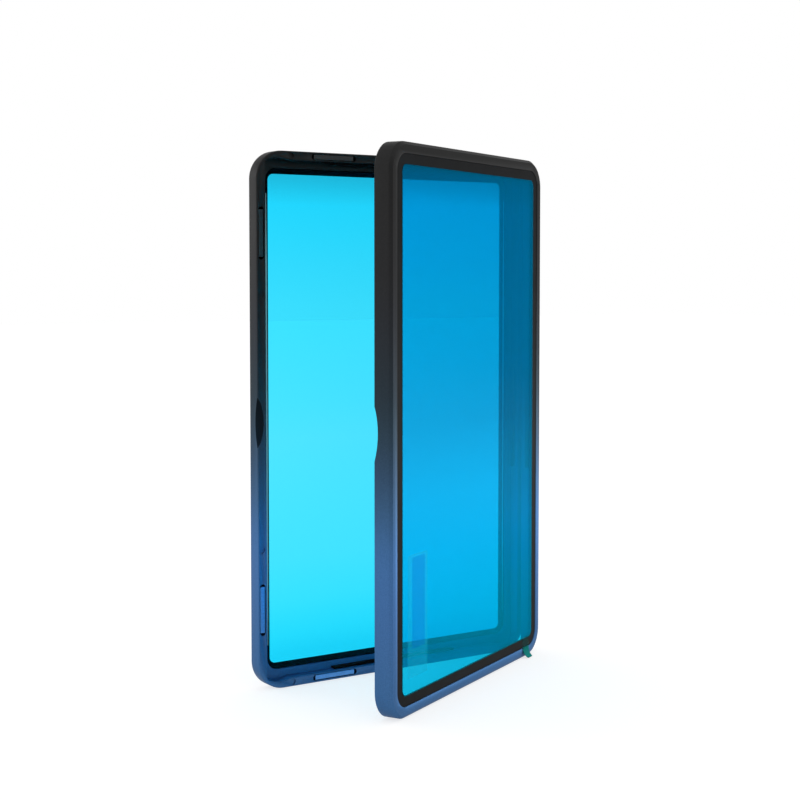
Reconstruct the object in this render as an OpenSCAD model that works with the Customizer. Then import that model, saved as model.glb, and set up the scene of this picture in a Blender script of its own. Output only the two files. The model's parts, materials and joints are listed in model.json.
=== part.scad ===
// Graded-card display case: two flat metal leaves, each with a clear panel, that close round
// a card slab like a book. The case stands on its lower edges, opened a little.
// Millimetres. The origin is the middle of the back leaf's lower edge face, +Z is up, and the
// back leaf lies along X with its outer face towards +Y. The hinge is on the +X edge.

/* [Card slab] */
// Width of the slab that the case holds
slab_w = 82.6; // [70:0.1:110]
// Height of the slab
slab_h = 136.4; // [115:0.1:180]
// Thickness of the slab
slab_t = 6.4; // [5:0.1:12]
// Free space between the slab and what holds it, on each side
slab_clear = 0.2; // [0.05:0.05:0.5]

/* [Frame] */
// Width of the flat face where the two leaves meet
land_w = 2.4; // [2.3:0.1:3.5]
// Width of the ledge that carries the slab
ledge_w = 1.95; // [1.5:0.05:2.6]
// Thickness of the flange behind the ledge
flange_t = 0.75; // [0.6:0.05:2]
// How much wider the outer lip is than the meeting face
lip_over = 0.5; // [0.3:0.05:1]
// Outside corner radius of a leaf
corner_r = 7.5; // [7:0.1:12]
// Chamfer along the outer face
edge_chamfer = 0.8; // [0.2:0.05:1.2]
// Broken edge along the meeting face
edge_break = 0.2; // [0.05:0.05:0.3]
// Corner radius of the slab pocket
pocket_r = 1.2; // [0.8:0.1:2.5]
// Length of the relief beside each pocket corner
relief_l = 6.4; // [4:0.2:10]
// Depth of that relief
relief_d = 0.55; // [0.2:0.05:0.8]
// Gap between each leaf and the parting plane when shut
half_gap = 0.1; // [0.05:0.05:0.2]

/* [Panel] */
// Thickness of the clear panel
panel_t = 0.7; // [0.5:0.05:2]
// Gap between the panel's edge and the lip
panel_clear = 0.1; // [0.05:0.05:0.3]
// How far the black border reaches past the ledge, to the window's edge
border_over = 1.5; // [0.5:0.05:2]
// Thickness of the black border on the panel
border_t = 0.02; // [0.01:0.01:0.1]
// Thickness of each protective film
film_t = 0.08; // [0.05:0.01:0.1]
// How far the outer film lies below the lip
film_inset = 0.05; // [0.05:0.05:0.4]
// Gap between the inner film and the flange
film_clear = 0.3; // [0.05:0.05:0.5]
// How far the outer film laps over the border
film_lap = 0.25; // [0.05:0.05:1]

/* [Pull tab] */
// Width of the pull tab
tab_w = 4; // [2:0.5:8]
// Thickness of the pull tab
tab_t = 0.12; // [0.08:0.01:0.2]
// Length of the tab's root on the film
tab_root_l = 1.2; // [0.5:0.1:4]
// Distance from the hinge edge to the middle of the tab
tab_from_hinge = 9.8; // [9.6:0.1:30]
// Angle that the tab curls through, over the whole lip
tab_curl = 57; // [30:1:70]
// Height of the tab's tip above the foot of the leaf
tab_tip = 0.2; // [0.1:0.05:1]
// Gap between the tab and the lip
tab_gap = 0.06; // [0.03:0.01:0.2]

/* [Film tag] */
// Width of the clear tag on the front film
tag_w = 10.4; // [5:0.1:20]
// Height of the tag
tag_h = 31; // [10:0.5:60]
// Thickness of the tag
tag_t = 0.04; // [0.02:0.01:0.04]
// Distance from the free edge to the tag
tag_from_free = 8.2; // [7:0.1:20]
// Distance from the foot of the leaf to the tag
tag_from_foot = 9.6; // [8:0.1:30]

/* [Magnets] */
// Length of a magnet bar
magnet_l = 13; // [6:0.5:18]
// Width of a magnet bar
magnet_w = 1.3; // [0.8:0.05:1.35]
// Depth of a magnet bar
magnet_t = 2; // [1:0.1:3]
// How far the bars lie below the meeting face
magnet_inset = 0.05; // [0.02:0.01:0.3]
// Free width of a slot beside its magnet, over both sides
magnet_play = 0.3; // [0.1:0.05:0.35]
// Open gap at each rounded end of a slot
slot_end_gap = 0.4; // [0.2:0.05:1]
// How far the slots lie inwards from the middle of the land
slot_shift = 0.1; // [0:0.05:0.15]
// Distance from each end of the free edge to the middle of its magnet
side_magnet_from_end = 21.7; // [18:0.1:26]
// Distance from the free edge to the middle of the end magnets
end_magnet_from_free = 23.5; // [22:0.1:40]

/* [Round recesses] */
// Diameter of a round recess in the back leaf's meeting face
spot_d = 1.7; // [1:0.05:1.8]
// Depth of a round recess
spot_depth = 0.4; // [0.2:0.05:1]
// Distance from each end of the free edge to its recess
side_spot_from_end = 37.7; // [33:0.1:42]
// Distance from the free edge to the end recesses
end_spot_from_free = 10.3; // [9.5:0.1:13]

/* [Thumb notch] */
// Length of the notch along the free edge
notch_l = 14.3; // [8:0.1:20]
// Depth of the notch into the meeting face
notch_in = 1.85; // [1:0.05:2]
// Depth of the notch into the edge face
notch_drop = 1.25; // [0.8:0.05:2]

/* [Slab pads] */
// Thickness of a soft pad
pad_t = 0.6; // [0.4:0.05:1.2]
// Width of a soft pad, across the pocket wall
pad_w = 2; // [1:0.1:2.2]
// Length of the pads at the top and bottom of the pocket
end_pad_l = 40; // [20:1:60]
// Length of the pad on the hinge side
side_pad_l = 30; // [20:1:60]
// How far the middle of the side pad lies below mid-height
side_pad_drop = 2.4; // [0:0.1:8]

/* [Hinge] */
// Length of the hinge
hinge_l = 30; // [24:1:60]
// Number of knuckles, an odd number
knuckles = 5; // [3:2:9]
// End gap between neighbouring knuckles
knuckle_gap = 0.2; // [0.1:0.05:0.4]
// Outside radius of a knuckle
barrel_r = 0.9; // [0.8:0.05:1]
// Gap between a knuckle and the groove that it turns in
barrel_gap = 0.2; // [0.1:0.05:0.3]
// How far the hinge axis lies outside the edge faces
axis_out = 0.15; // [0.1:0.05:0.3]
// Radius of the hinge pin
pin_r = 0.45; // [0.3:0.05:0.5]
// How far the pin's heads stand out round the pin
pin_head = 0.25; // [0.1:0.05:0.3]
// Running clearance round the pin, on the radius
pin_clear = 0.05; // [0.02:0.01:0.1]
// Thickness of a hinge plate
plate_t = 0.5; // [0.4:0.05:0.6]
// How far a hinge plate reaches across the edge face
plate_w = 3.7; // [3.4:0.1:3.9]
// Play of a hinge plate in its recess
plate_play = 0.05; // [0.02:0.01:0.1]

/* [Hinge screws] */
// Number of screws in each plate
screws = 3; // [2:1:4]
// Radius of a screw's head
screw_head_r = 0.85; // [0.7:0.05:0.9]
// Height of a screw's tapered head
screw_head_h = 0.4; // [0.2:0.05:0.4]
// Radius of a screw's shank
screw_r = 0.5; // [0.3:0.05:0.55]
// Length of a screw below the edge face
screw_l = 1.7; // [1.2:0.1:2]
// Width of the driver slot
driver_w = 0.2; // [0.1:0.05:0.4]
// Depth of the driver slot
driver_d = 0.2; // [0.1:0.05:0.3]

/* [Pose] */
// Angle between the leaves as the case stands
rest_angle = 27.5; // [10:0.5:60]

/* [Hidden] */
$fn = 72;

// The pocket is the slab with its clearance and its pads: two along the height, one across.
pocket_w = slab_w + pad_t + 2 * slab_clear;
pocket_h = slab_h + 2 * pad_t + 2 * slab_clear;
pocket_d = slab_t / 2 + half_gap;
case_w = pocket_w + 2 * land_w;
case_h = pocket_h + 2 * land_w;

// Levels through a leaf, from its meeting face outwards
panel_z = pocket_d + flange_t;
border_z = panel_z + panel_t;
film_z = border_z + border_t;
skin_z = film_z + film_t;
leaf_t = skin_z + film_inset;

// Insets from the outline of a leaf
flange_in = land_w + ledge_w;
lip_w = land_w + lip_over;
window_in = flange_in + border_over;

// Magnet slots and hinge
slot_w = magnet_w + magnet_play;
slot_l = magnet_l + 2 * slot_end_gap;
slot_in = land_w / 2 + slot_shift;
slot_d = magnet_inset + magnet_t;
knuckle_l = (hinge_l - (knuckles - 1) * knuckle_gap) / knuckles;
hinge_foot = (case_h - hinge_l) / 2;
groove_r = barrel_r + barrel_gap;
groove_z = groove_r - half_gap;

// The hinge axis
axis_x = case_w / 2 + axis_out;
axis_y = -leaf_t / 2 - half_gap;

cut = 1; // how far a cutting solid runs past the face that it cuts
least_r = 0.5; // the smallest corner radius of a sheet

frame_colour = [0.20, 0.32, 0.48];
steel_colour = [0.17, 0.18, 0.19];
black_colour = [0.08, 0.08, 0.09];
magnet_colour = [0.45, 0.55, 0.68];
glass_colour = [0.85, 0.93, 0.96, 0.35];
film_colour = [0.25, 0.85, 0.98, 0.45];
tab_colour = [0.10, 0.48, 0.50];

// ---- Where a leaf stands. A leaf is drawn flat: X across with the hinge at +X, Y up the
// leaf from its foot, Z outwards from its meeting face.

module place_back() {
    translate([0, axis_y + half_gap, 0]) mirror([0, 1, 0]) rotate([90, 0, 0]) children();
}

module place_front() {
    translate([axis_x, axis_y, 0])
        rotate([0, 0, rest_angle])
            translate([-axis_x, -half_gap, 0])
                rotate([90, 0, 0]) children();
}

// ---- Shapes that repeat

module rounded_rect(w, h, r) {
    translate([-w / 2, 0]) {
        translate([0, r]) square([w, h - 2 * r]);
        translate([r, 0]) square([w - 2 * r, h]);
        for (x = [r, w - r], y = [r, h - r])
            translate([x, y]) circle(r);
    }
}

// The outline of a leaf, drawn inwards by an inset, with corners about the same centres
module leaf_outline(inset) {
    translate([0, inset])
        rounded_rect(case_w - 2 * inset, case_h - 2 * inset, max(corner_r - inset, least_r));
}

module sheet(inset, z, t) {
    translate([0, 0, z]) linear_extrude(t) leaf_outline(inset);
}

// Sweeps a cross-section round the outline of a leaf: x inwards from the edge, y outwards.
// Each turn of the loop makes one side and the corner that follows it.
module sweep_round_leaf() {
    for (k = [0:3]) {
        reach = (k % 2 == 0 ? case_w : case_h) / 2;
        side = (k % 2 == 0 ? case_h : case_w) / 2 - corner_r;
        translate([0, case_h / 2, 0]) rotate([0, 0, 90 * k]) {
            translate([reach, side, 0])
                rotate([90, 0, 0]) linear_extrude(2 * side) mirror([1, 0]) children();
            translate([reach - corner_r, side, 0])
                rotate_extrude(angle = 90) translate([corner_r, 0]) mirror([1, 0]) children();
        }
    }
}

module slot(l, w, depth) {
    translate([0, 0, -cut]) linear_extrude(depth + cut) {
        square([l - w, w], center = true);
        for (x = [-1, 1]) translate([x * (l - w) / 2, 0]) circle(w / 2);
    }
}

// ---- Where the small pieces go on a leaf

module at_side_magnets() {
    for (y = [side_magnet_from_end, case_h - side_magnet_from_end])
        translate([slot_in - case_w / 2, y, 0]) rotate([0, 0, 90]) children();
}

module at_end_magnets() {
    for (y = [slot_in, case_h - slot_in])
        translate([end_magnet_from_free - case_w / 2, y, 0]) children();
}

module at_spots() {
    for (y = [side_spot_from_end, case_h - side_spot_from_end])
        translate([(land_w - case_w) / 2, y, 0]) children();
    for (y = [land_w / 2, case_h - land_w / 2])
        translate([end_spot_from_free - case_w / 2, y, 0]) children();
}

// The hinge screws go into the edge face, below the plate's bare part
module at_screws() {
    for (i = [0:screws - 1])
        translate([case_w / 2, hinge_foot + (i + 0.5) * hinge_l / screws, (groove_z + plate_w) / 2])
            rotate([0, -90, 0]) children();
}

// ---- The pieces of one leaf, drawn flat

// The frame's section: broken inner edge, flange under the panel, lip and outer chamfer
module frame_section() {
    polygon([
        [0, edge_break], [edge_break, 0], [flange_in, 0], [flange_in, panel_z],
        [lip_w, panel_z], [lip_w, leaf_t], [edge_chamfer, leaf_t], [0, leaf_t - edge_chamfer]
    ]);
}

// The slab pocket, with a shallow relief beside each corner in its end walls
module pocket_outline() {
    relief_r = (pow(relief_l / 2, 2) + pow(relief_d, 2)) / (2 * relief_d);
    relief_x = (pocket_w - relief_l) / 2 - pocket_r;
    translate([0, land_w]) rounded_rect(pocket_w, pocket_h, pocket_r);
    for (x = [-relief_x, relief_x], s = [-1, 1])
        translate([x, case_h / 2 + s * (pocket_h / 2 + relief_d - relief_r)])
            intersection() {
                circle(relief_r, $fn = 180);
                translate([-relief_l / 2, s > 0 ? 0 : -relief_r]) square([relief_l, relief_r]);
            }
}

// A ball cuts the thumb notch. Its centre follows from the three sizes of the notch.
module thumb_notch() {
    half = notch_l / 2;
    a = (half * half - notch_in * notch_in) / (2 * notch_in);
    b = (half * half - notch_drop * notch_drop) / (2 * notch_drop);
    translate([-case_w / 2 - a, case_h / 2, -b])
        sphere(sqrt(half * half + a * a + b * b), $fn = 180);
}

// A stretch of round stock about the hinge axis, from one height to another
module round_axis(r, foot, l) {
    translate([axis_x, foot, -half_gap]) rotate([-90, 0, 0]) cylinder(r = r, h = l);
}

// Room for the plate in the edge face, and at its corner a longer groove for the knuckles of
// both leaves and the pin's heads
module hinge_recess() {
    translate([case_w / 2 - plate_t - plate_play, hinge_foot - plate_play, -cut])
        cube([plate_t + plate_play + cut, hinge_l + 2 * plate_play, plate_w + plate_play + cut]);
    over = pin_head + plate_play;
    round_axis(groove_r, hinge_foot - over, hinge_l + 2 * over);
}

// Only the back leaf has the round recesses.
module frame(has_spots) {
    color(frame_colour) difference() {
        sweep_round_leaf() frame_section();
        translate([0, 0, -cut]) linear_extrude(pocket_d + cut) pocket_outline();
        at_side_magnets() slot(slot_l, slot_w, slot_d);
        at_end_magnets() slot(slot_l, slot_w, slot_d);
        if (has_spots)
            at_spots() translate([0, 0, -cut]) cylinder(d = spot_d, h = spot_depth + cut);
        at_screws() cylinder(r = screw_r, h = screw_l);
        hinge_recess();
        thumb_notch();
    }
}

module border() {
    color(black_colour) translate([0, 0, border_z]) linear_extrude(border_t) difference() {
        leaf_outline(lip_w + panel_clear);
        leaf_outline(window_in);
    }
}

module panel() {
    color(glass_colour) sheet(lip_w + panel_clear, panel_z, panel_t);
}

module inner_film() {
    color(film_colour) sheet(flange_in + film_clear, panel_z - film_t, film_t);
}

module outer_film() {
    color(film_colour) sheet(window_in - film_lap, film_z, film_t);
}

module magnet() {
    color(magnet_colour) translate([-magnet_l / 2, -magnet_w / 2, magnet_inset])
        cube([magnet_l, magnet_w, magnet_t]);
}

module end_pads() {
    color(black_colour) for (y = [land_w, case_h - land_w - pad_t])
        translate([-end_pad_l / 2, y, pocket_d - pad_w]) cube([end_pad_l, pad_t, pad_w]);
}

module side_pad() {
    foot = (case_h - side_pad_l) / 2 - side_pad_drop;
    color(black_colour) translate([pocket_w / 2 - pad_t, foot, pocket_d - pad_w])
        cube([pad_t, side_pad_l, pad_w]);
}

// A hinge plate with every second knuckle, starting with the one numbered first. The other
// leaf's knuckles turn in the gaps between them.
module hinge_leaf(first, bore_r) {
    color(steel_colour) difference() {
        union() {
            translate([case_w / 2 - plate_t, hinge_foot, 0]) cube([plate_t, hinge_l, plate_w]);
            for (i = [first:2:knuckles - 1]) round_axis(barrel_r, knuckle_foot(i), knuckle_l);
        }
        for (i = [1 - first:2:knuckles - 1])
            round_axis(groove_r, knuckle_foot(i) - knuckle_gap, knuckle_l + 2 * knuckle_gap);
        round_axis(bore_r, hinge_foot - cut, hinge_l + 2 * cut);
        at_screws() screw_body();
    }
}

function knuckle_foot(i) = hinge_foot + i * (knuckle_l + knuckle_gap);

module screw_body() {
    cylinder(r1 = screw_head_r, r2 = screw_r, h = screw_head_h);
    cylinder(r = screw_r, h = screw_l);
}

module hinge_screws() {
    color(steel_colour) at_screws() difference() {
        screw_body();
        translate([-screw_head_r, -driver_w / 2, -cut])
            cube([2 * screw_head_r, driver_w, cut + driver_d]);
    }
}

// The pin, with a low riveted head outside each end knuckle
module pin() {
    color(steel_colour) translate([axis_x, hinge_foot, -half_gap]) rotate([-90, 0, 0]) {
        cylinder(r = pin_r, h = hinge_l);
        for (end = [0, 1]) translate([0, 0, end * hinge_l]) mirror([0, 0, 1 - end])
            cylinder(r1 = pin_r + pin_head, r2 = pin_r, h = pin_head);
    }
}

// The tab's side view, in (outwards, up): flat on the film, then curled outwards over the lip
module tab_section() {
    face = leaf_t + tab_gap;
    bend_r = (lip_w - tab_tip) / sin(tab_curl);
    root_y = window_in - film_lap;
    steps = 16;
    function arc(r, k) = [
        face + bend_r - r * cos(tab_curl * k / steps),
        lip_w - r * sin(tab_curl * k / steps)
    ];
    polygon(concat(
        [[skin_z, root_y + tab_root_l], [skin_z, root_y]],
        [for (k = [0:steps]) arc(bend_r, k)],
        [for (k = [steps:-1:0]) arc(bend_r - tab_t, k)],
        [[skin_z + tab_t, root_y], [skin_z + tab_t, root_y + tab_root_l]]
    ));
}

module pull_tab() {
    color(tab_colour) translate([case_w / 2 - tab_from_hinge - tab_w / 2, 0, 0])
        rotate([90, 0, 90]) mirror([1, -1, 0]) linear_extrude(tab_w) tab_section();
}

module tag() {
    color(film_colour) translate([tag_from_free - case_w / 2, tag_from_foot, skin_z])
        cube([tag_w, tag_h, tag_t]);
}

// ---- The nodes

module back_frame() { place_back() frame(true); }
module back_border() { place_back() border(); }
module back_panel() { place_back() panel(); }
module back_inner_film() { place_back() inner_film(); }
module back_outer_film() { place_back() outer_film(); }
module back_side_magnets() { place_back() at_side_magnets() magnet(); }
module back_end_magnets() { place_back() at_end_magnets() magnet(); }
module back_end_pads() { place_back() end_pads(); }
module back_side_pad() { place_back() side_pad(); }
module back_hinge_leaf() { place_back() hinge_leaf(0, pin_r); }
module back_hinge_screws() { place_back() hinge_screws(); }
module hinge_pin() { place_back() pin(); }
module front_frame() { place_front() frame(false); }
module front_border() { place_front() border(); }
module front_panel() { place_front() panel(); }
module front_inner_film() { place_front() inner_film(); }
module front_outer_film() { place_front() outer_film(); }
module front_side_magnets() { place_front() at_side_magnets() magnet(); }
module front_end_magnets() { place_front() at_end_magnets() magnet(); }
module front_end_pads() { place_front() end_pads(); }
module front_side_pad() { place_front() side_pad(); }
module front_hinge_leaf() { place_front() hinge_leaf(1, pin_r + pin_clear); }
module front_hinge_screws() { place_front() hinge_screws(); }
module film_pull_tab() { place_front() pull_tab(); }
module film_tag() { place_front() tag(); }

back_frame();
back_border();
back_panel();
back_inner_film();
back_outer_film();
back_side_magnets();
back_end_magnets();
back_end_pads();
back_side_pad();
back_hinge_leaf();
back_hinge_screws();
hinge_pin();
front_frame();
front_border();
front_panel();
front_inner_film();
front_outer_film();
front_side_magnets();
front_end_magnets();
front_end_pads();
front_side_pad();
front_hinge_leaf();
front_hinge_screws();
film_pull_tab();
film_tag();
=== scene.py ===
# %% [markdown]
# # A trading card display case
# Two flat metal leaves, each with a clear panel, that shut round a card slab like a book. The
# real frames are milled from aluminium plate, blasted with fine beads, and anodised in a fade
# from black at the top to steel blue at the foot. The panels still wear their cyan films.
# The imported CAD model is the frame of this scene. Everything made here is laid out "flat", as
# a maker would lay a leaf on the bench, and is then stood where the CAD has it.

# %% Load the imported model
import json
import math
import bpy
import bmesh
from mathutils import Matrix, Vector


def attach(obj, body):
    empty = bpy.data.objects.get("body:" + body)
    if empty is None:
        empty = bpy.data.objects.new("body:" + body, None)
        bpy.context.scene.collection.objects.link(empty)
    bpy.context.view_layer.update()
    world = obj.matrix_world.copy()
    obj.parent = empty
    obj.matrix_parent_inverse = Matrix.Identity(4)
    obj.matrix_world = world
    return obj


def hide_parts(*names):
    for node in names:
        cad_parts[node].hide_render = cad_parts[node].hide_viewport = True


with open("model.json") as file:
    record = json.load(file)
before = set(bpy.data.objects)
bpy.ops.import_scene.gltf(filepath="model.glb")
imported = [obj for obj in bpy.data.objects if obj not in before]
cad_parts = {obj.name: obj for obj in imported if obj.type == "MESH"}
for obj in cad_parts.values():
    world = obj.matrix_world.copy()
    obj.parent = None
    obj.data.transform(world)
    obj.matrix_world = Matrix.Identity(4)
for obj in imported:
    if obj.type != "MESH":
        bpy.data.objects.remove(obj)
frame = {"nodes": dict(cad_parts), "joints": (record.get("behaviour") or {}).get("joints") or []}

MM = 0.001


def in_mm(metres, digits=2):
    """Lengths in metres as millimetres, rounded for printing."""
    return [round(v / MM, digits) for v in metres]


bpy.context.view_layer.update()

# %% [markdown]
# ## Sizes and the bench
# These sizes repeat the CAD's, in millimetres. A leaf on the bench has X across with the
# hinge at +X, Y up the leaf from its foot, and Z outwards from its meeting face. `STAND`
# holds one matrix per leaf that takes bench millimetres to metres in the row frame. The back
# leaf's matrix swaps Y and Z, which mirrors its mesh, so faces are turned outwards again after
# it is used.

# %% Sizes and placement
CASE_W, CASE_H, LEAF_T, CORNER_R = 88.4, 142.8, 4.9, 7.5
LIP_W, FLANGE_IN, WINDOW_IN = 2.9, 4.35, 5.85  # measured inwards from the leaf's edge
PANEL_Z = 4.05                                 # the panel's inner face
FILM_Z, SKIN_Z = 4.77, 4.85                    # the outer film's two faces
HALF_GAP, REST_ANGLE = 0.1, 27.5
hinge = next(j for j in frame["joints"] if j["name"] == "hinge")
AXIS = Vector((*hinge["pos_m"][:2], 0)) / MM

SWAP_YZ = Matrix(((1, 0, 0, 0), (0, 0, 1, 0), (0, 1, 0, 0), (0, 0, 0, 1)))
STAND = {
    "back": Matrix.Scale(MM, 4) @ Matrix.Translation((0, AXIS.y + HALF_GAP, 0)) @ SWAP_YZ,
    "front": Matrix.Scale(MM, 4) @ Matrix.Translation(AXIS)
    @ Matrix.Rotation(math.radians(REST_ANGLE), 4, "Z")
    @ Matrix.Translation((-AXIS.x, -HALF_GAP, 0)) @ Matrix.Rotation(math.radians(90), 4, "X"),
}
BODY = {"back": "back_leaf", "front": "front_leaf"}
for leaf in STAND:
    print(leaf, "leaf's foot, mm:", in_mm(STAND[leaf] @ Vector((0, 0, LEAF_T / 2))))


def hand_over(mesh, name, leaf, material, replaces=()):
    mesh.materials.clear()
    mesh.materials.append(material)
    piece = bpy.data.objects.new(name, mesh)
    bpy.context.scene.collection.objects.link(piece)
    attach(piece, BODY[leaf])
    if replaces:
        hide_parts(*replaces)
    return piece


def finish_piece(mesh, name, leaf, material, replaces=()):
    """Stands a bench mesh in its leaf, turns its faces outwards and hands it over."""
    mesh.transform(STAND[leaf])
    work = bmesh.new()
    work.from_mesh(mesh)
    bmesh.ops.recalc_face_normals(work, faces=work.faces)
    work.to_mesh(mesh)
    work.free()
    mesh.polygons.foreach_set("use_smooth", [False] * len(mesh.polygons))
    return hand_over(mesh, name, leaf, material, replaces)


# %% [markdown]
# ## Materials
# A material is a tree of nodes. `add_node` puts in one node with its settings, and fills its
# inputs with numbers or links them to other nodes. Colours are written as sRGB hex, as a
# picture shows them, and `srgb` turns them into the linear values that light needs.

# %% Material helpers
def srgb(code):
    """#rrggbb as a linear colour with alpha 1."""
    parts = [int(code[i:i + 2], 16) / 255 for i in (1, 3, 5)]
    return (*[c / 12.92 if c <= 0.04045 else ((c + 0.055) / 1.055) ** 2.4 for c in parts], 1)


def add_node(tree, kind, inputs=(), **settings):
    """Adds a node; a value in inputs that is a socket is linked, any other is set."""
    node = tree.nodes.new(kind)
    for key, value in settings.items():
        setattr(node, key, value)
    for key, value in dict(inputs).items():
        if isinstance(value, bpy.types.NodeSocket):
            tree.links.new(value, node.inputs[key])
        else:
            node.inputs[key].default_value = value
    return node


def new_material(name):
    """An empty material and its tree."""
    material = bpy.data.materials.new(name)
    material.use_nodes = True
    material.node_tree.nodes.clear()
    return material, material.node_tree


# %% [markdown]
# ### Colours that change with height
# Dye and light both change slowly up the case. Object coordinates carry the height in metres,
# and a colour ramp holds one colour for each named height in millimetres.

# %% A colour by height
def by_height(tree, stops, gain=1.0, blend="LINEAR"):
    """A ramp over the height of the case. Its stops are heights in mm with hex colours, made
    lighter or darker by gain. One hex colour alone is the same all over, and needs no ramp."""
    if isinstance(stops, str):
        return srgb(stops)
    place = add_node(tree, "ShaderNodeTexCoord")
    axes = add_node(tree, "ShaderNodeSeparateXYZ", {0: place.outputs["Object"]})
    height = add_node(tree, "ShaderNodeMath", {0: axes.outputs["Z"], 1: 1 / (CASE_H * MM)},
                      operation="MULTIPLY")
    node = add_node(tree, "ShaderNodeValToRGB", {0: height.outputs[0]})
    ramp = node.color_ramp
    ramp.interpolation = blend
    while len(ramp.elements) < len(stops):
        ramp.elements.new(0.5)
    for stop, (z, code) in zip(ramp.elements, stops):
        stop.position = z / CASE_H
        stop.color = [min(1, c * gain) for c in srgb(code)[:3]] + [1]
    return node.outputs["Color"]


# %% [markdown]
# ### Anodised aluminium, bead-blasted, dyed in a fade
# Anodising grows a hard, clear oxide on the metal, and dye fills its pores. Blasting leaves a
# fine satin grain, so the metal mirrors nothing sharply. The leaves were drawn slowly out of
# the dye, so the colour depends on height only: black above, steel blue below. The thick dye
# scatters a share of the light before it reaches the metal, so the surface is three quarters
# metal and one quarter dull colour, without a clear gloss of its own. The real grit is about
# 0.1 mm, and it is drawn at 0.3 mm so that it shows.

# %% The anodised metal
FADE = [(6, "#3f6794"), (26, "#466fa4"), (41, "#456fa2"), (51, "#3e6083"), (60.5, "#384f69"),
        (70, "#334553"), (80, "#2e3941"), (95, "#2f3237"), (110, "#2f2f30"), (140, "#2e2e2e")]
NOISE_LOW, NOISE_HIGH = 0.3, 0.7  # a noise node stays between these nearly everywhere
TONE_SWING, GLOSS_SWING, CLOUD_MM = 0.1, 0.03, 22


def anodised(name, gain, roughness, grit_mm, bump_mm):
    """Blasted, anodised metal in the fade's colours, made lighter or darker by gain."""
    material, tree = new_material(name)
    place = add_node(tree, "ShaderNodeTexCoord").outputs["Object"]
    grain = add_node(tree, "ShaderNodeTexNoise", {
        "Vector": place, "Scale": 1 / (grit_mm * MM), "Detail": 2.0, "Roughness": 0.6})
    cloud = add_node(tree, "ShaderNodeTexNoise", {
        "Vector": place, "Scale": 1 / (CLOUD_MM * MM), "Detail": 1.0})
    tone = add_node(tree, "ShaderNodeMapRange", {
        0: grain.outputs["Fac"], 1: NOISE_LOW, 2: NOISE_HIGH,
        3: 1 - TONE_SWING, 4: 1 + TONE_SWING})
    shade = add_node(tree, "ShaderNodeVectorMath", {
        0: by_height(tree, FADE, gain, "B_SPLINE"), 1: tone.outputs[0]}, operation="MULTIPLY")
    gloss = add_node(tree, "ShaderNodeMapRange", {
        0: cloud.outputs["Fac"], 1: NOISE_LOW, 2: NOISE_HIGH,
        3: roughness - GLOSS_SWING, 4: roughness + GLOSS_SWING})
    bump = add_node(tree, "ShaderNodeBump", {
        "Height": grain.outputs["Fac"], "Strength": 0.5, "Distance": bump_mm * MM})
    metal = add_node(tree, "ShaderNodeBsdfPrincipled", {
        "Base Color": shade.outputs[0], "Metallic": 0.75, "Roughness": gloss.outputs[0],
        "Specular IOR Level": 0.0, "Specular Tint": (0.7, 0.7, 0.7, 1),
        "Normal": bump.outputs[0]})
    add_node(tree, "ShaderNodeOutputMaterial", {"Surface": metal.outputs[0]})
    return material


# %% Three finishes of it
# The slots and the thumb notch take the fade at about a fifth of its brightness, which is
# painted shade for the darkness that falls into them. The magnet bars are sprayed to match the
# frame, a little lighter and smoother.
ANODISED = anodised("anodised_aluminium_fade", gain=1.0, roughness=0.42, grit_mm=0.3,
                    bump_mm=0.01)
RECESS_PAINTED_SHADE = anodised("painted_shade_in_recesses", gain=0.22, roughness=0.5, grit_mm=0.3, bump_mm=0.01)
MAGNET = anodised("sprayed_magnet_bar", gain=2.2, roughness=0.34, grit_mm=0.5, bump_mm=0.006)
print("metals:", ANODISED.name, RECESS_PAINTED_SHADE.name, MAGNET.name)

# %% [markdown]
# ### Black print, foam and plated steel
# The window's border is black ink on the panel, smooth and nearly matt. The slab pads are
# closed-cell foam, whose cells are about 0.3 mm and show as a fine pitting. The hinge is steel
# with a black satin plating, which keeps faint drawing lines along the strip it was cut from,
# so its grain is stretched along the height.

# %% Black finishes
BLACK_SWING = 0.25


def plain_black(name, code, roughness, scale_mm, bump_mm, metallic=0.0, stretch=(1, 1, 1),
                shine=0.5):
    """A dark finish with a little unevenness in tone and height."""
    material, tree = new_material(name)
    place = add_node(tree, "ShaderNodeTexCoord")
    spread = add_node(tree, "ShaderNodeVectorMath", {
        0: place.outputs["Object"], 1: stretch}, operation="MULTIPLY")
    grain = add_node(tree, "ShaderNodeTexNoise", {
        "Vector": spread.outputs[0], "Scale": 1 / (scale_mm * MM), "Detail": 3.0})
    tone = add_node(tree, "ShaderNodeMapRange", {
        0: grain.outputs["Fac"], 1: NOISE_LOW, 2: NOISE_HIGH,
        3: 1 - BLACK_SWING, 4: 1 + BLACK_SWING})
    shade = add_node(tree, "ShaderNodeVectorMath", {
        0: srgb(code)[:3], 1: tone.outputs[0]}, operation="MULTIPLY")
    bump = add_node(tree, "ShaderNodeBump", {
        "Height": grain.outputs["Fac"], "Strength": 0.6, "Distance": bump_mm * MM})
    surface = add_node(tree, "ShaderNodeBsdfPrincipled", {
        "Base Color": shade.outputs[0], "Metallic": metallic, "Roughness": roughness,
        "Specular IOR Level": shine, "Normal": bump.outputs[0]})
    add_node(tree, "ShaderNodeOutputMaterial", {"Surface": surface.outputs[0]})
    return material


PRINT = plain_black("black_screen_print", "#121416", roughness=0.6, scale_mm=6,
                    bump_mm=0.002, shine=0.05)
FOAM = plain_black("closed_cell_foam_pad", "#0c0d0e", roughness=0.9, scale_mm=0.35,
                   bump_mm=0.12, shine=0.1)
STEEL = plain_black("black_plated_steel", "#232427", roughness=0.36, scale_mm=0.6,
                    bump_mm=0.01, metallic=1.0, stretch=(1, 1, 0.08))
print("blacks:", PRINT.name, FOAM.name, STEEL.name)

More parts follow.
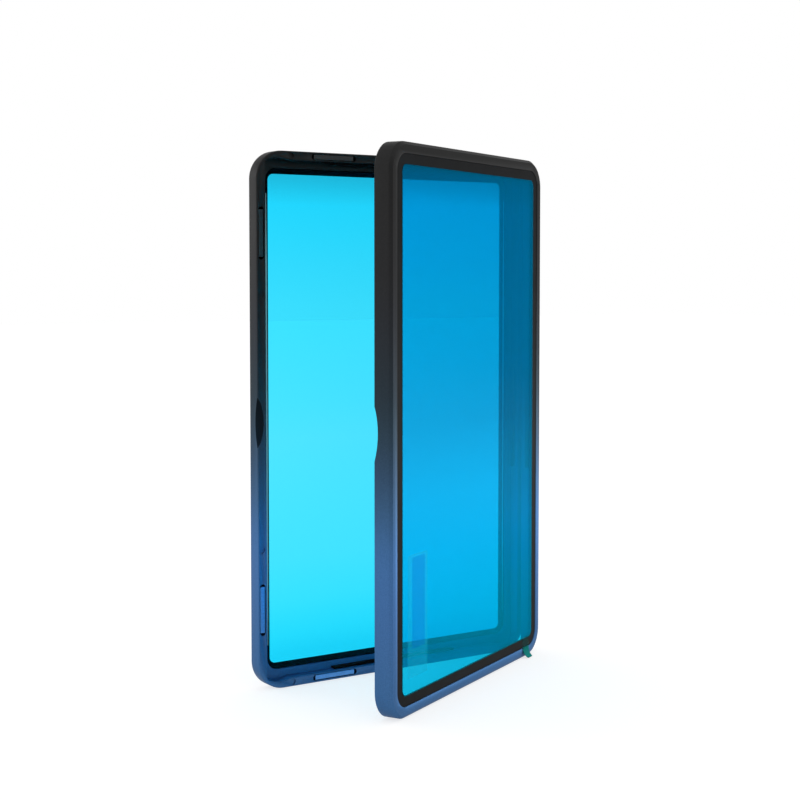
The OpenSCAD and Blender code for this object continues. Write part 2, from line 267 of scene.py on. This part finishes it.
# %% [markdown]
# ### Clear acrylic and cyan film
# A thin clear sheet hardly bends what is seen through it, so it is a Transparent shader with a
# weak, soft gloss on top, mixed in by Fresnel as on any clear plastic. The film is tinted, and
# a ray passes two faces of each of a leaf's two films, so the tint below is the fourth root of
# what the leaf lets through. The film also scatters a little light of its own colour. That
# share grows as the film is seen more edge-on, which is why the front leaf looks deeper than
# the back one.

# %% See-through finishes
PLASTIC_IOR, SKIN_ROUGHNESS = 1.45, 0.25


def see_through(name, tints, body, least, rise, gloss, haze=None):
    """A tinted clear sheet. Its share of body colour is haze * (least + rise * Facing)."""
    material, tree = new_material(name)
    clear = add_node(tree, "ShaderNodeBsdfTransparent", {"Color": by_height(tree, tints)})
    milk = add_node(tree, "ShaderNodeBsdfPrincipled", {
        "Base Color": by_height(tree, body), "Roughness": 0.5, "Specular IOR Level": 0.0})
    facing = add_node(tree, "ShaderNodeLayerWeight", {"Blend": 0.5})
    share = add_node(tree, "ShaderNodeMath", {
        0: facing.outputs["Facing"], 1: rise, 2: least}, operation="MULTIPLY_ADD", use_clamp=True)
    if haze is not None:
        share = add_node(tree, "ShaderNodeMath", {
            0: share.outputs[0], 1: by_height(tree, haze)}, operation="MULTIPLY")
    sheet = add_node(tree, "ShaderNodeMixShader", {
        0: share.outputs[0], 1: clear.outputs[0], 2: milk.outputs[0]})
    mirror = add_node(tree, "ShaderNodeBsdfGlossy", {"Roughness": SKIN_ROUGHNESS})
    edge = add_node(tree, "ShaderNodeFresnel", {"IOR": PLASTIC_IOR})
    weak = add_node(tree, "ShaderNodeMath", {0: edge.outputs[0], 1: gloss}, operation="MULTIPLY")
    shader = add_node(tree, "ShaderNodeMixShader", {
        0: weak.outputs[0], 1: sheet.outputs[0], 2: mirror.outputs[0]})
    add_node(tree, "ShaderNodeOutputMaterial", {"Surface": shader.outputs[0]})
    return material


# %% The panel and its films
# The film's ramps paint light and shade by height: the tint darkens towards the top and bottom
# edges as painted shade from the rim, the scattered body colour is lighter towards the foot as
# painted light, and the body's share is smaller in the lower part.
FILM_TINTS_RIM_SHADED = [(8, "#9cf4fd"), (13, "#a4f6fe"), (22, "#b1f7ff"), (34, "#b9f7ff"),
              (66, "#bff7ff"), (76, "#bbf7ff"), (102, "#b4f7ff"), (113, "#aef6ff"),
              (129, "#a2f5ff"), (136, "#9eedf7")]
FILM_BODIES_LIT_AT_FOOT = [(20, "#08d2ec"), (40, "#08d4ff"), (54, "#06c8f6"), (72, "#00a7d8"),
               (CASE_H, "#00a7d8")]
FILM_HAZE = [(0, "#e4e4e4"), (52, "#e4e4e4"), (73, "#ffffff"), (CASE_H, "#ffffff")]

ACRYLIC = see_through("polished_clear_acrylic", "#fdfeff", "#d8e8ee", least=0.0, rise=0.001,
                      gloss=0.006)
FILM = see_through("cyan_protective_film", FILM_TINTS_RIM_SHADED, FILM_BODIES_LIT_AT_FOOT, least=-0.0534, rise=0.432,
                   gloss=0.004, haze=FILM_HAZE)
# The milky margin material is pale, a painted highlight for light caught along the ledge.
MARGIN_HIGHLIGHT = see_through("milky_film_margin", "#cfe6ea", "#b4e4e8", least=0.8, rise=0.1,
                     gloss=0.02)
print("see-through:", ACRYLIC.name, FILM.name, MARGIN_HIGHLIGHT.name)

# %% The tag and the pull tab
# The tape shows its colour where it curls away over the lip. Higher up it lies flat on the
# border and the film, and hardly shows.
OVER_LIP, ON_FILM = 2.7, 3.2
TAB_TINTS = [(0, "#7fe3dd"), (OVER_LIP, "#7fe3dd"), (ON_FILM, "#f0ffff"), (CASE_H, "#f0ffff")]
TAB_HAZE = [(0, "#ffffff"), (OVER_LIP, "#ffffff"), (ON_FILM, "#3c3c3c"), (CASE_H, "#3c3c3c")]

TAG_CLEAR = see_through("clear_tag_film", "#f4feff", "#04e0ff", least=0.16, rise=0.04,
                        gloss=0.01)
TAG_INK = see_through("violet_tinted_tag_print", "#d0f4ff", "#10d0ff", least=0.1, rise=0.04,
                      gloss=0.01)
TAB = see_through("green_pull_tab_tape", TAB_TINTS, "#1e8d88", least=0.72, rise=0.1,
                  gloss=0.01, haze=TAB_HAZE)
print("see-through:", TAG_CLEAR.name, TAG_INK.name, TAB.name)

# %% [markdown]
# ## The two frames
# The CAD solid of a frame has every pocket, slot and notch, but knife edges. A real milled
# edge is broken by the blasting, and that thin round catches the light all along the frame.
# So the CAD mesh is copied, its loose triangles are merged and joined into flat faces, and a
# Bevel modifier rounds each edge by less than a tenth of a millimetre.

# %% A copy of a CAD node with eased edges
MERGE_MM, FLAT_ANGLE, SHARP_ANGLE, ROUND_STEPS = 0.002, 0.5, 32, 2


def ease(piece, width_mm, angle=40, miter="MITER_SHARP"):
    """Rounds a piece's edges that are sharper than angle, with a Bevel modifier."""
    bevel = piece.modifiers.new("Edge round", "BEVEL")
    bevel.width, bevel.segments = width_mm * MM, ROUND_STEPS
    bevel.limit_method, bevel.angle_limit = "ANGLE", math.radians(angle)
    bevel.miter_outer = miter
    bevel.harden_normals = True


def eased_copy(leaf, part, name, width_mm, material):
    """A copy of a leaf's CAD node with its sharp edges rounded, which stands for that node."""
    node = f"{leaf}_{part}"
    mesh = frame["nodes"][node].data.copy()
    work = bmesh.new()
    work.from_mesh(mesh)
    bmesh.ops.remove_doubles(work, verts=work.verts, dist=MERGE_MM * MM)
    bmesh.ops.dissolve_limit(work, angle_limit=math.radians(FLAT_ANGLE), verts=work.verts,
                             edges=work.edges)
    work.to_mesh(mesh)
    work.free()
    mesh.polygons.foreach_set("use_smooth", [True] * len(mesh.polygons))
    piece = hand_over(mesh, name, leaf, material, [node])
    ease(piece, width_mm, SHARP_ANGLE, "MITER_ARC")
    return piece


# %% Where the recesses are
SLOT_IN, SIDE_MAGNET, END_MAGNET = 1.3, 21.7, 23.5     # the slots' lines and middles
SLOT_HALF_W, SLOT_HALF_L, SLOT_FLOOR = 1.0, 8, 2.6     # a box that holds a slot with room
NOTCH_HALF_L, NOTCH_DEEP, NOTCH_TOP = 7.3, 1.95, 1.3   # a box that holds the thumb notch
OWN_FACE = 0.05                                        # nearer than this is the leaf's face


def in_shaded_recess(place):
    """Whether a bench point lies inside a magnet slot or the thumb notch."""
    x, y, z = place.x + CASE_W / 2, place.y, place.z
    end = min(y, CASE_H - y)
    beside = abs(x - SLOT_IN) < SLOT_HALF_W and abs(end - SIDE_MAGNET) < SLOT_HALF_L
    above = abs(end - SLOT_IN) < SLOT_HALF_W and abs(x - END_MAGNET) < SLOT_HALF_L
    notch = OWN_FACE < x < NOTCH_DEEP and abs(y - CASE_H / 2) < NOTCH_HALF_L and z < NOTCH_TOP
    return z > OWN_FACE and (notch or (z < SLOT_FLOOR and (beside or above)))


# %% Frames with broken edges, and painted shade in their recesses
EDGE_ROUND = 0.09

for leaf in STAND:
    piece = eased_copy(leaf, "frame", f"{leaf}_leaf_frame", EDGE_ROUND,
                       ANODISED)
    to_bench = STAND[leaf].inverted()
    # Faces in the magnet slots and the thumb notch take the darker recess material, painted
    # shade.
    inside = [in_shaded_recess(to_bench @ face.center) for face in piece.data.polygons]
    piece.data.materials.append(RECESS_PAINTED_SHADE)
    piece.data.polygons.foreach_set("material_index", [int(deep) for deep in inside])
    print(piece.name, "faces:", len(inside), "of them in recesses:", sum(inside))

# %% [markdown]
# ### Slab pads
# The pads are strips die-cut from a sheet of foam. The cut leaves soft edges, so each strip is
# copied as the frames are and eased by a tenth of a millimetre all round.

# %% Slab pads
FOAM_ROUND = 0.1

for leaf in STAND:
    for pads in ("end_pads", "side_pad"):
        piece = eased_copy(leaf, pads, f"{leaf}_{pads}_foam", FOAM_ROUND, FOAM)
        print(piece.name, "faces before the bevel:", len(piece.data.polygons))

# %% [markdown]
# ## Magnet bars and hinge screws
# Alike small pieces are made once and set out by Geometry Nodes. The nodes take a mesh that has
# one point for each copy, and a `turn` on each point says how that copy is rotated. A tree gets
# its sizes through named inputs, ends in Realize Instances and Set Material, and its result
# becomes a plain mesh.

# %% Building a node tree
def new_tree(name, sizes):
    """A node tree with a geometry input and the named sizes, and its group input node."""
    tree = bpy.data.node_groups.new(name, "GeometryNodeTree")
    tree.interface.new_socket("Geometry", in_out="INPUT", socket_type="NodeSocketGeometry")
    for size in sizes:
        tree.interface.new_socket(size, in_out="INPUT", socket_type="NodeSocketFloat")
    tree.interface.new_socket("Geometry", in_out="OUTPUT", socket_type="NodeSocketGeometry")
    return tree, add_node(tree, "NodeGroupInput")


def set_out(tree, start, copy, material):
    """Puts the copy on every point, turned by the point's turn, and closes the tree."""
    turn = add_node(tree, "GeometryNodeInputNamedAttribute", {"Name": "turn"},
                    data_type="FLOAT_VECTOR")
    spread = add_node(tree, "GeometryNodeInstanceOnPoints", {
        "Points": start.outputs["Geometry"], "Instance": copy,
        "Rotation": turn.outputs["Attribute"]})
    real = add_node(tree, "GeometryNodeRealizeInstances", {0: spread.outputs[0]})
    dressed = add_node(tree, "GeometryNodeSetMaterial", {
        "Geometry": real.outputs[0], "Material": material})
    add_node(tree, "NodeGroupOutput", {0: dressed.outputs[0]})


# %% Running a node tree
def grow(tree, places, sizes):
    """Runs a tree on points given as (x, y, z) and (turn x, y, z), and returns a plain mesh."""
    points = bpy.data.meshes.new("points")
    points.from_pydata([place for place, _ in places], [], [])
    turns = points.attributes.new("turn", "FLOAT_VECTOR", "POINT")
    turns.data.foreach_set("vector", [v for _, turn in places for v in turn])
    holder = bpy.data.objects.new("points", points)
    bpy.context.scene.collection.objects.link(holder)
    nodes = holder.modifiers.new("Nodes", "NODES")
    nodes.node_group = tree
    for item in tree.interface.items_tree:
        if item.in_out == "INPUT" and item.name in sizes:
            nodes[item.identifier] = float(sizes[item.name])
    mesh = bpy.data.meshes.new_from_object(
        holder.evaluated_get(bpy.context.evaluated_depsgraph_get()))
    bpy.data.objects.remove(holder)
    return mesh


# %% A magnet bar
# A bar is a filled rectangle drawn down into the leaf. Its face is a hair below the land, and it
# is a little shorter than its slot, so that the slot's round ends show; their dark is partly the
# recess material's painted shade.
BAR = {"Length": 12.3, "Width": 1.3, "Depth": 2.0}
BAR_STATIONS = 14

bar_tree, start = new_tree("magnet_bar", list(BAR))
size = add_node(bar_tree, "ShaderNodeCombineXYZ", {
    0: start.outputs["Length"], 1: start.outputs["Width"], 2: start.outputs["Depth"]})
bar = add_node(bar_tree, "GeometryNodeMeshCube", {
    "Size": size.outputs[0], "Vertices X": BAR_STATIONS})
sunk = add_node(bar_tree, "ShaderNodeMath", {0: start.outputs["Depth"], 1: 0.5},
                operation="MULTIPLY")
drop = add_node(bar_tree, "ShaderNodeCombineXYZ", {2: sunk.outputs[0]})
bar = add_node(bar_tree, "GeometryNodeTransform", {
    "Geometry": bar.outputs["Mesh"], "Translation": drop.outputs[0]})
set_out(bar_tree, start, bar.outputs[0], MAGNET)
print("nodes in the bar's tree:", len(bar_tree.nodes))

# %% The magnet bars in their slots
BAR_SUNK, BAR_ROUND = 0.05, 0.12
FREE_EDGE, ALONG, QUARTER = -CASE_W / 2, (0, 0, 0), (0, 0, math.pi / 2)
BAR_PLACES = {
    "side": [((FREE_EDGE + SLOT_IN, y, BAR_SUNK), QUARTER)
             for y in (SIDE_MAGNET, CASE_H - SIDE_MAGNET)],
    "end": [((FREE_EDGE + END_MAGNET, y, BAR_SUNK), ALONG) for y in (SLOT_IN, CASE_H - SLOT_IN)],
}
for leaf in STAND:
    for where, places in BAR_PLACES.items():
        name = f"{leaf}_{where}_magnets"
        mesh = grow(bar_tree, places, BAR)
        piece = finish_piece(mesh, f"{name}_bars", leaf, MAGNET, [name])
        ease(piece, BAR_ROUND)
        print(piece.name, "vertices:", len(mesh.vertices))

# %% A hinge screw
# A screw's head is a cone with a driver slot cut by Mesh Boolean, and its shank starts under
# the slot. The cutter is longer than the head is wide, and as much of it is above the head's
# face as below. The screw is laid along X with the shank towards -X.
SCREW = {"Head radius": 0.85, "Head height": 0.4, "Shank radius": 0.5, "Length": 1.7,
         "Slot width": 0.22, "Slot depth": 0.2}
ROUND_SIDES = 36

screw_tree, start = new_tree("hinge_screw", list(SCREW))
head = add_node(screw_tree, "GeometryNodeMeshCone", {
    "Vertices": ROUND_SIDES, "Radius Top": start.outputs["Shank radius"],
    "Radius Bottom": start.outputs["Head radius"], "Depth": start.outputs["Head height"]})
wide = add_node(screw_tree, "ShaderNodeMath", {0: start.outputs["Head radius"], 1: 3.0},
                operation="MULTIPLY")
deep = add_node(screw_tree, "ShaderNodeMath", {0: start.outputs["Slot depth"], 1: 2.0},
                operation="MULTIPLY")
cutter_size = add_node(screw_tree, "ShaderNodeCombineXYZ", {
    0: wide.outputs[0], 1: start.outputs["Slot width"], 2: deep.outputs[0]})
cutter = add_node(screw_tree, "GeometryNodeMeshCube", {"Size": cutter_size.outputs[0]})
slotted = add_node(screw_tree, "GeometryNodeMeshBoolean", {
    "Mesh 1": head.outputs["Mesh"], "Mesh 2": cutter.outputs["Mesh"]}, operation="DIFFERENCE")
below = add_node(screw_tree, "ShaderNodeMath", {
    0: start.outputs["Length"], 1: start.outputs["Slot depth"]}, operation="SUBTRACT")
middle = add_node(screw_tree, "ShaderNodeMath", {
    0: below.outputs[0], 1: 0.5, 2: start.outputs["Slot depth"]}, operation="MULTIPLY_ADD")
shank = add_node(screw_tree, "GeometryNodeMeshCylinder", {
    "Vertices": ROUND_SIDES, "Radius": start.outputs["Shank radius"], "Depth": below.outputs[0]})
down = add_node(screw_tree, "ShaderNodeCombineXYZ", {2: middle.outputs[0]})
shank = add_node(screw_tree, "GeometryNodeTransform", {
    "Geometry": shank.outputs["Mesh"], "Translation": down.outputs[0]})
screw = add_node(screw_tree, "GeometryNodeJoinGeometry")
for part in (slotted, shank):
    screw_tree.links.new(part.outputs[0], screw.inputs[0])
laid = add_node(screw_tree, "GeometryNodeTransform", {
    "Geometry": screw.outputs[0], "Rotation": (0, -math.pi / 2, 0)})
set_out(screw_tree, start, laid.outputs[0], STEEL)
print("nodes in the screw's tree:", len(screw_tree.nodes))

# %% The hinge screws in their plates
# Screws driven by hand stop at different angles, so each has its own turn.
HINGE_L, PLATE_W, GROOVE_Z = 30.0, 3.7, 1.0
SCREWS, FIRST_TURN, NEXT_TURN, SCREW_ROUND = 3, 0.4, 1.1, 0.03

places = [((CASE_W / 2, (CASE_H - HINGE_L) / 2 + (i + 0.5) * HINGE_L / SCREWS,
            (GROOVE_Z + PLATE_W) / 2), (FIRST_TURN + NEXT_TURN * i, 0, 0)) for i in range(SCREWS)]
for leaf in STAND:
    name = f"{leaf}_hinge_screws"
    mesh = grow(screw_tree, places, SCREW)
    piece = finish_piece(mesh, f"{name}_set", leaf, STEEL, [name])
    ease(piece, SCREW_ROUND)
    print(piece.name, "vertices:", len(mesh.vertices), "mm:", in_mm(piece.dimensions))

# %% [markdown]
# ## Carried-over CAD pieces
# The border, the panel and the hinge keep their CAD shape, and only get a finish.

# %% Finishes of the CAD pieces
FINISH = {"border": PRINT, "panel": ACRYLIC, "leaf": STEEL, "pin": STEEL}
for name, node in frame["nodes"].items():
    finish = FINISH.get(name.split("_")[-1])
    if finish is not None:
        node.data.materials.clear()
        node.data.materials.append(finish)
        print(name, "is", finish.name)

# %% [markdown]
# ## Films
# Each panel has a film on both faces. A film is a sheet with round corners, 0.08 mm thick, and
# it is made a hair thinner here so that it never shares a face with the panel.

# %% Flat sheets
CORNERS = [(1, 1), (-1, 1), (-1, -1), (1, -1)]


def round_rectangle(x, y, w, h, r, steps):
    """Points round a rectangle with round corners, whose lower left is (x, y)."""
    points = []
    for k, (sx, sy) in enumerate(CORNERS):
        for i in range(steps + 1):
            a = math.radians(90 * (k + i / steps))
            points.append((x + w / 2 + sx * (w / 2 - r) + r * math.cos(a),
                           y + h / 2 + sy * (h / 2 - r) + r * math.sin(a)))
    return points


def sheet_mesh(name, points, low, high):
    """A closed flat sheet on the bench, from low to high."""
    n = len(points)
    verts = [(x, y, z) for z in (low, high) for x, y in points]
    sides = [(i, (i + 1) % n, n + (i + 1) % n, n + i) for i in range(n)]
    mesh = bpy.data.meshes.new(name)
    mesh.from_pydata(verts, [], [tuple(range(n))[::-1], tuple(range(n, 2 * n))] + sides)
    return mesh


# %% Film sheets
FILM_T, FILM_HAIR, FILM_STEPS = 0.08, 0.008, 10
INNER_IN, OUTER_IN = FLANGE_IN + 0.3, WINDOW_IN - 0.25  # the films' edges, in from the leaf's

for leaf in STAND:
    for side, inset, low, high in (("inner", INNER_IN, PANEL_Z - FILM_T, PANEL_Z),
                                   ("outer", OUTER_IN, FILM_Z, SKIN_Z)):
        name = f"{leaf}_{side}_film"
        points = round_rectangle(inset - CASE_W / 2, inset, CASE_W - 2 * inset,
                                 CASE_H - 2 * inset, CORNER_R - inset, FILM_STEPS)
        mesh = sheet_mesh(name, points, low + FILM_HAIR, high - FILM_HAIR)
        piece = finish_piece(mesh, f"{name}_sheet", leaf, FILM, [name])
        print(piece.name, "mm:", in_mm(piece.dimensions, 1))

# %% [markdown]
# ### Pale strips along the inner film's long edges
# Along its two long edges the inner film has a narrow strip without tint, pale and milky. It is
# a painted highlight: it stands for the light caught along the ledge beside the black border,
# and from in front it is the pale line there. It is a thin strip that narrows towards its ends,
# and `sweep` joins its cross-sections.

# %% Joining cross-sections
def sweep(sections):
    """Vertices and faces of a closed strip through sections that have as many points each."""
    n = len(sections[0])
    verts = [point for section in sections for point in section]
    faces = [(n * i + k, n * i + (k + 1) % n, n * (i + 1) + (k + 1) % n, n * (i + 1) + k)
             for i in range(len(sections) - 1) for k in range(n)]
    return verts, faces + [tuple(range(n)), tuple(range(len(verts) - n, len(verts)))]


# %% Painted highlight strips on the inner film
MARGIN_W, MARGIN_STEPS, MARGIN_END = 0.44, 24, 11   # the strips start 11 mm from the ends
MARGIN_LOW, MARGIN_HIGH = PANEL_Z - 0.096, PANEL_Z - 0.078
TIP_SHARE, TAPER = 0.3, 4                           # the tips' width, and how fast it grows

for leaf in STAND:
    verts, faces = [], []
    for side in (-1, 1):
        middle = side * (CASE_W / 2 - INNER_IN - MARGIN_W / 2)
        sections = []
        for i in range(MARGIN_STEPS + 1):
            y = MARGIN_END + (CASE_H - 2 * MARGIN_END) * i / MARGIN_STEPS
            part = min(i, MARGIN_STEPS - i) / MARGIN_STEPS
            half = MARGIN_W / 2 * min(1, TIP_SHARE + TAPER * part)
            sections.append([(middle - half, y, MARGIN_LOW), (middle + half, y, MARGIN_LOW),
                             (middle + half, y, MARGIN_HIGH), (middle - half, y, MARGIN_HIGH)])
        new_verts, new_faces = sweep(sections)
        faces += [tuple(len(verts) + v for v in face) for face in new_faces]
        verts += new_verts
    mesh = bpy.data.meshes.new("margins")
    mesh.from_pydata(verts, [], faces)
    piece = finish_piece(mesh, f"{leaf}_inner_film_highlight_strips", leaf, MARGIN_HIGHLIGHT)
    print(piece.name, "faces:", len(faces))

# %% [markdown]
# ## Tag and pull tab
# The tag is a clear strip stuck on the front film, with one block tinted blue-violet. The pull
# tab is a short strip of green tape that starts on the film, passes over the lip and curls
# outwards. It is swept along a line with its bend, and the corners of its end are rounded.

# %% Tag
TAG_X, TAG_Y, TAG_W, TAG_H = 8.2 - CASE_W / 2, 9.6, 10.4, 31.0
BLOCK_X, BLOCK_Y, BLOCK_W, BLOCK_H = TAG_X + 2.4, TAG_Y + 7.2, 6.6, 23.0
TAG_FACES = (SKIN_Z + 0.002, SKIN_Z + 0.02)
BLOCK_FACES = (SKIN_Z + 0.026, SKIN_Z + 0.038)
TAG_R, BLOCK_R, TAG_STEPS = 0.3, 0.2, 4

strip = round_rectangle(TAG_X, TAG_Y, TAG_W, TAG_H, TAG_R, TAG_STEPS)
finish_piece(sheet_mesh("tag", strip, *TAG_FACES), "tag_clear_strip", "front",
             TAG_CLEAR, ["film_tag"])
block = round_rectangle(BLOCK_X, BLOCK_Y, BLOCK_W, BLOCK_H, BLOCK_R, TAG_STEPS)
finish_piece(sheet_mesh("block", block, *BLOCK_FACES), "tag_tinted_block", "front",
             TAG_INK)
print("tag at", round(TAG_X, 2), TAG_Y, "block at", round(BLOCK_X, 2), round(BLOCK_Y, 2))

# %% The pull tab's line
# Its places are pairs of height above the meeting face and height up the leaf.
TAB_X, TAB_W, TAPE_T = CASE_W / 2 - 9.8, 4.0, 0.1
TAB_ROOT, TAB_LIFT = 0.3, 0.01      # how much lies on the film, and how far above it
TAB_GAP, TAB_TIP = 0.06, 0.2        # the gap over the lip, and the tip's height
TAB_CURL, CURL_STEPS = math.radians(57), 14
CURL_R = (LIP_W - TAB_TIP) / math.sin(TAB_CURL)

under = [(SKIN_Z + TAB_LIFT, OUTER_IN + TAB_ROOT), (SKIN_Z + TAB_LIFT, OUTER_IN)]
for k in range(CURL_STEPS + 1):
    a = TAB_CURL * k / CURL_STEPS
    under.append((LEAF_T + TAB_GAP + CURL_R * (1 - math.cos(a)), LIP_W - CURL_R * math.sin(a)))
over = []
for k, (z, y) in enumerate(under):
    before, after = under[max(k - 1, 0)], under[min(k + 1, len(under) - 1)]
    run = Vector((after[0] - before[0], after[1] - before[1])).normalized()
    over.append((z - run.y * TAPE_T, y + run.x * TAPE_T))
print("pull tab's tip, mm:", [round(v, 2) for v in under[-1]])

# %% The pull tab
ACROSS = [-0.5, -0.47, -0.4, 0.4, 0.47, 0.5]   # shares of the tape's width
CORNER_FROM, CORNER_CUT, NARROWING = 0.4, 0.3, 0.28
LAST = len(under) - 1

sections = []
for k in range(LAST + 1):
    width = TAB_W * (1 - NARROWING * max(0, k - 2) / (LAST - 2))
    section = []
    for (z, y), shares in ((under[k], ACROSS), (over[k], ACROSS[::-1])):
        for u in shares:
            cut = CORNER_CUT * (max(0, abs(u) - CORNER_FROM) / (0.5 - CORNER_FROM)) ** 2
            section.append((TAB_X + u * width, y + (cut if k == LAST else 0), z))
    sections.append(section)
verts, faces = sweep(sections)
mesh = bpy.data.meshes.new("pull_tab")
mesh.from_pydata(verts, [], faces)
finish_piece(mesh, "pull_tab_tape", "front", TAB, ["film_pull_tab"])
print("pull tab sections:", len(sections))

# %% [markdown]
# ## Floor, light and camera
# The photograph stands the case on pure white. The floor is a grey sheet with a glow that only
# the camera and reflections see, so it looks white and still takes the case's shadow. The world
# is white to the camera, and a little weaker as light. Reflections see it darker towards the
# front, as metal inside a light tent sees the tent's dark opening.

# %% Floor
def seen_directly(tree):
    """1 for camera, glossy and transmission rays, 0 for the rays that carry soft light."""
    rays = add_node(tree, "ShaderNodeLightPath")
    seen = rays.outputs["Is Camera Ray"]
    for kind in ("Is Glossy Ray", "Is Transmission Ray"):
        seen = add_node(tree, "ShaderNodeMath", {0: seen, 1: rays.outputs[kind]},
                        operation="MAXIMUM").outputs[0]
    return seen


FLOOR_SIZE, FLOOR_DROP_MM, FLOOR_GREY, FLOOR_GLOW = 6, 0.05, 0.4, 0.7
bpy.ops.mesh.primitive_plane_add(size=FLOOR_SIZE, location=(0, 0, -FLOOR_DROP_MM * MM))
floor = bpy.context.object
floor.name = "floor"
material, tree = new_material("white_floor")
paper = add_node(tree, "ShaderNodeBsdfDiffuse", {"Color": (FLOOR_GREY,) * 3 + (1,)})
lift = add_node(tree, "ShaderNodeMath", {0: seen_directly(tree), 1: FLOOR_GLOW},
                operation="MULTIPLY")
glow = add_node(tree, "ShaderNodeEmission", {"Color": (1, 1, 1, 1), "Strength": lift.outputs[0]})
both = add_node(tree, "ShaderNodeAddShader", {0: paper.outputs[0], 1: glow.outputs[0]})
add_node(tree, "ShaderNodeOutputMaterial", {"Surface": both.outputs[0]})
floor.data.materials.append(material)
print("floor at, mm:", in_mm(floor.location))

# %% World
WORLD_LIGHT, WORLD_SEEN = 0.88, 1.0
DARK_FROM, DARK_MOST = 0.7, 0.6   # the cosine at which the dark front starts, and its share

world = bpy.context.scene.world or bpy.data.worlds.new("studio")
bpy.context.scene.world = world
world.use_nodes = True
tree = world.node_tree
tree.nodes.clear()
level = add_node(tree, "ShaderNodeMapRange", {
    0: seen_directly(tree), 3: WORLD_LIGHT, 4: WORLD_SEEN})
way = add_node(tree, "ShaderNodeTexCoord")
front = add_node(tree, "ShaderNodeVectorMath", {0: way.outputs["Generated"], 1: (0, -1, 0)},
                 operation="DOT_PRODUCT")
dark = add_node(tree, "ShaderNodeMapRange", {
    0: front.outputs["Value"], 1: DARK_FROM, 2: 1.0, 3: 0.0, 4: DARK_MOST})
rays = add_node(tree, "ShaderNodeLightPath")
dim = add_node(tree, "ShaderNodeMath", {0: dark.outputs[0], 1: rays.outputs["Is Glossy Ray"]},
               operation="MULTIPLY")
keep = add_node(tree, "ShaderNodeMath", {0: 1.0, 1: dim.outputs[0]}, operation="SUBTRACT")
strength = add_node(tree, "ShaderNodeMath", {0: level.outputs[0], 1: keep.outputs[0]},
                    operation="MULTIPLY")
sky = add_node(tree, "ShaderNodeBackground", {
    "Color": (1, 1, 1, 1), "Strength": strength.outputs[0]})
add_node(tree, "ShaderNodeOutputWorld", {"Surface": sky.outputs[0]})
print("world's nodes:", len(tree.nodes))


# %% [markdown]
# ### Lamps
# Two soft lamps give the satin metal its lighter faces: a small one low on the right, near the
# foot, and a large one behind on the left. A lamp's power is worked out from its radiance, so
# that its brightness is in the units in which the world's white is 1.

# %% Lamps
def soft_lamp(name, place, target, size, radiance):
    """A rectangular lamp that faces its target, with places and sizes in metres."""
    lamp = bpy.data.objects.new(name, bpy.data.lights.new(name, "AREA"))
    lamp.data.shape = "RECTANGLE"
    lamp.data.size, lamp.data.size_y = size
    lamp.data.energy = radiance * math.pi * size[0] * size[1]
    lamp.location = place
    lamp.rotation_euler = (Vector(target) - Vector(place)).to_track_quat("-Z", "Y").to_euler()
    bpy.context.scene.collection.objects.link(lamp)
    print(name, "W:", round(lamp.data.energy, 3))


soft_lamp("low_right_soft_lamp", place=(0.27, -0.05, 0.032), target=(0, -0.03, 0.02),
          size=(0.16, 0.06), radiance=4.5)
soft_lamp("back_left_soft_lamp", place=(-0.6, 0.8, 0.35), target=(0, -0.02, 0.07),
          size=(0.5, 0.5), radiance=2.4)

# %% [markdown]
# ### Camera
# The camera was fitted to the straight edges of the frames and windows in the photograph. A ray
# through both leaves passes many clear faces, so Cycles gets room for them.

# %% Camera
CAMERA_PLACE, YAW, PITCH = (-0.235221, -0.360315, 0.109763), 33.3715, 3.0884
FOCAL_PX, IMAGE_PX, SENSOR_MM, SHIFT_Y = 1546.43, 800, 36, -0.05
CLEAR_FACES, NEAREST = 32, 0.01

scene = bpy.context.scene
camera = bpy.data.objects.new("camera", bpy.data.cameras.new("camera"))
scene.collection.objects.link(camera)
camera.location = CAMERA_PLACE
camera.rotation_euler = (math.radians(90 - PITCH), 0, math.radians(-YAW))
camera.data.sensor_width = SENSOR_MM
camera.data.lens = FOCAL_PX * SENSOR_MM / IMAGE_PX
camera.data.shift_y = SHIFT_Y
camera.data.clip_start = NEAREST
scene.camera = camera
scene.view_settings.view_transform = "Standard"
scene.cycles.transparent_max_bounces = CLEAR_FACES
print("lens, mm:", round(camera.data.lens, 2))
